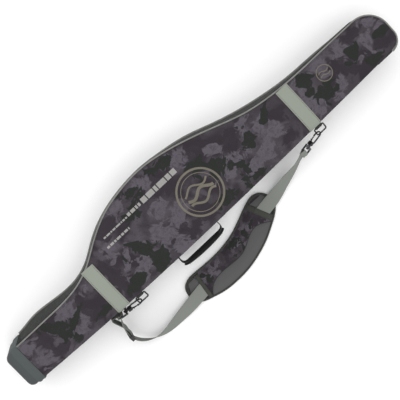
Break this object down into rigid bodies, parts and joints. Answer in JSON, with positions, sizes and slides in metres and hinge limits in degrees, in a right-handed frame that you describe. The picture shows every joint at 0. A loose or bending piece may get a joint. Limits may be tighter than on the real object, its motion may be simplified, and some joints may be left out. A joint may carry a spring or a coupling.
{
  "type": "fishing rod bag",
  "caption": "Semi-rigid padded rod bag with a hinged zipped lid, reel bulge, moulded base cup, carry handle and clip-on padded shoulder strap.",
  "frame": {"origin": "on the back panel's resting face, at the middle of the bag's length, on the middle line of its straight part", "axes": "+X from the base cup to the tip, +Y from the straight spine to the reel bulge, +Z out of the front panel; the bag lies on its back"},
  "size_m": [1.3, 0.4073, 0.1325],
  "materials": {
    "camo_fabric": "printed woven polyester, matt",
    "gusset_fabric": "woven polyester, matt",
    "lining_fabric": "brushed lining cloth",
    "zip_coil": "moulded nylon coil",
    "piping": "vinyl piping",
    "moulded_base": "moulded, lightly grained",
    "collar_vinyl": "folded vinyl",
    "foam": "closed-cell foam",
    "touch_strap": "hook-and-loop webbing",
    "band_webbing": "ribbed webbing",
    "black_webbing": "ribbed webbing",
    "grip_fabric": "padded cloth",
    "black_metal": "black plated zinc",
    "black_plastic": "moulded nylon",
    "strap_webbing": "ribbed webbing",
    "pad_mesh": "spacer mesh"
  },
  "bodies": {
    "case": {"back_panel": "gusset_fabric", "spine_panel": "gusset_fabric", "rear_gusset": "gusset_fabric", "zip_chain_rear": "zip_coil", "zip_end_patch": "gusset_fabric", "rear_piping": "piping", "base_cup": "moulded_base", "cup_collar": "collar_vinyl", "butt_pad": "foam", "rod_straps_rear": "touch_strap", "lower_band_rear": "band_webbing", "upper_band_rear": "band_webbing", "lower_ring_tab": "black_webbing", "upper_ring_tab": "black_webbing", "handle_base": "black_webbing"},
    "lid": {"front_panel": "camo_fabric", "front_gusset": "gusset_fabric", "zip_chain_lid": "zip_coil", "front_piping": "piping", "lower_band_front": "band_webbing", "upper_band_front": "band_webbing"},
    "lower_leaf": {"divider_lower": "lining_fabric", "rod_straps_lower": "touch_strap"},
    "upper_leaf": {"divider_upper": "lining_fabric", "rod_straps_upper": "touch_strap"},
    "lower_ring_body": {"lower_ring": "black_metal"},
    "upper_ring_body": {"upper_ring": "black_metal"},
    "strap": {"lower_webbing": "strap_webbing", "upper_webbing": "strap_webbing", "strap_adjuster": "black_plastic", "lower_swivel_loop": "black_metal", "upper_swivel_loop": "black_metal", "pad_core": "foam", "pad_binding": "strap_webbing", "pad_mesh": "pad_mesh", "pad_cloth": "camo_fabric", "lower_pad_tab": "strap_webbing", "upper_pad_tab": "strap_webbing"},
    "lower_snap_hook": {"lower_hook": "black_metal"},
    "lower_gate": {"lower_hook_gate": "black_metal"},
    "upper_snap_hook": {"upper_hook": "black_metal"},
    "upper_gate": {"upper_hook_gate": "black_metal"},
    "handle": {"handle_legs": "black_webbing", "handle_grip": "grip_fabric"},
    "slider": {"zip_slider": "black_metal"},
    "pull": {"zip_pull": "black_plastic"}
  },
  "joints": [
    {"name": "lid_hinge", "type": "hinge", "parent": "case", "child": "lid", "pos_m": [0, -0.0753, 0.112], "axis": [1, 0, 0], "range_deg": [0, 170]},
    {"name": "lower_leaf_hinge", "type": "hinge", "parent": "case", "child": "lower_leaf", "pos_m": [0, -0.05, 0.04467], "axis": [1, 0, 0], "range_deg": [0, 40]},
    {"name": "upper_leaf_hinge", "type": "hinge", "parent": "case", "child": "upper_leaf", "pos_m": [0, -0.05, 0.08533], "axis": [1, 0, 0], "range_deg": [0, 80]},
    {"name": "strap_swing", "type": "hinge", "parent": "case", "child": "strap", "pos_m": [0, -0.081, 0.076], "axis": [1, 0, 0], "range_deg": [-55, 0]},
    {"name": "lower_ring_hinge", "type": "hinge", "parent": "case", "child": "lower_ring_body", "pos_m": [-0.292, -0.081, 0.076], "axis": [1, 0, 0], "range_deg": [-55, 0]},
    {"name": "upper_ring_hinge", "type": "hinge", "parent": "case", "child": "upper_ring_body", "pos_m": [0.349, -0.081, 0.076], "axis": [1, 0, 0], "range_deg": [-55, 0]},
    {"name": "lower_hook_swivel", "type": "hinge", "parent": "strap", "child": "lower_snap_hook", "pos_m": [-0.34487, -0.08753, 0.06828], "axis": [0.9903, -0.1392, 0], "range_deg": [-14, 14]},
    {"name": "upper_hook_swivel", "type": "hinge", "parent": "strap", "child": "upper_snap_hook", "pos_m": [0.2964, -0.10258, 0.06847], "axis": [0.9848, 0.1736, 0], "range_deg": [-14, 14]},
    {"name": "lower_gate_hinge", "type": "hinge", "parent": "lower_snap_hook", "child": "lower_gate", "pos_m": [-0.33391, -0.0922, 0.07364], "axis": [0.1205, 0.8576, 0.5], "range_deg": [0, 22], "stiffness_Nm_per_rad": 0.04, "springref_deg": -17.19},
    {"name": "upper_gate_hinge", "type": "hinge", "parent": "upper_snap_hook", "child": "upper_gate", "pos_m": [0.30719, -0.09753, 0.06311], "axis": [0.1504, -0.8529, -0.5], "range_deg": [0, 22], "stiffness_Nm_per_rad": 0.04, "springref_deg": -17.19},
    {"name": "handle_fold", "type": "hinge", "parent": "case", "child": "handle", "pos_m": [-0.083, -0.0798, 0.065], "axis": [1, 0, 0], "range_deg": [-38, 38]},
    {"name": "zip_slide", "type": "slide", "parent": "case", "child": "slider", "axis": [0.9995, 0.0316, 0], "range_m": [0, 0.022]},
    {"name": "zip_pull_hinge", "type": "hinge", "parent": "slider", "child": "pull", "pos_m": [0.578, -0.07037, 0.07], "axis": [0, 0, 1], "range_deg": [-150, 0]}
  ],
  "couplings": [
    {"joint": "lower_leaf_hinge", "follows": "lid_hinge", "ratio": 0.235},
    {"joint": "upper_leaf_hinge", "follows": "lid_hinge", "ratio": 0.47},
    {"joint": "lower_ring_hinge", "follows": "strap_swing", "ratio": 1},
    {"joint": "upper_ring_hinge", "follows": "strap_swing", "ratio": 1}
  ]
}
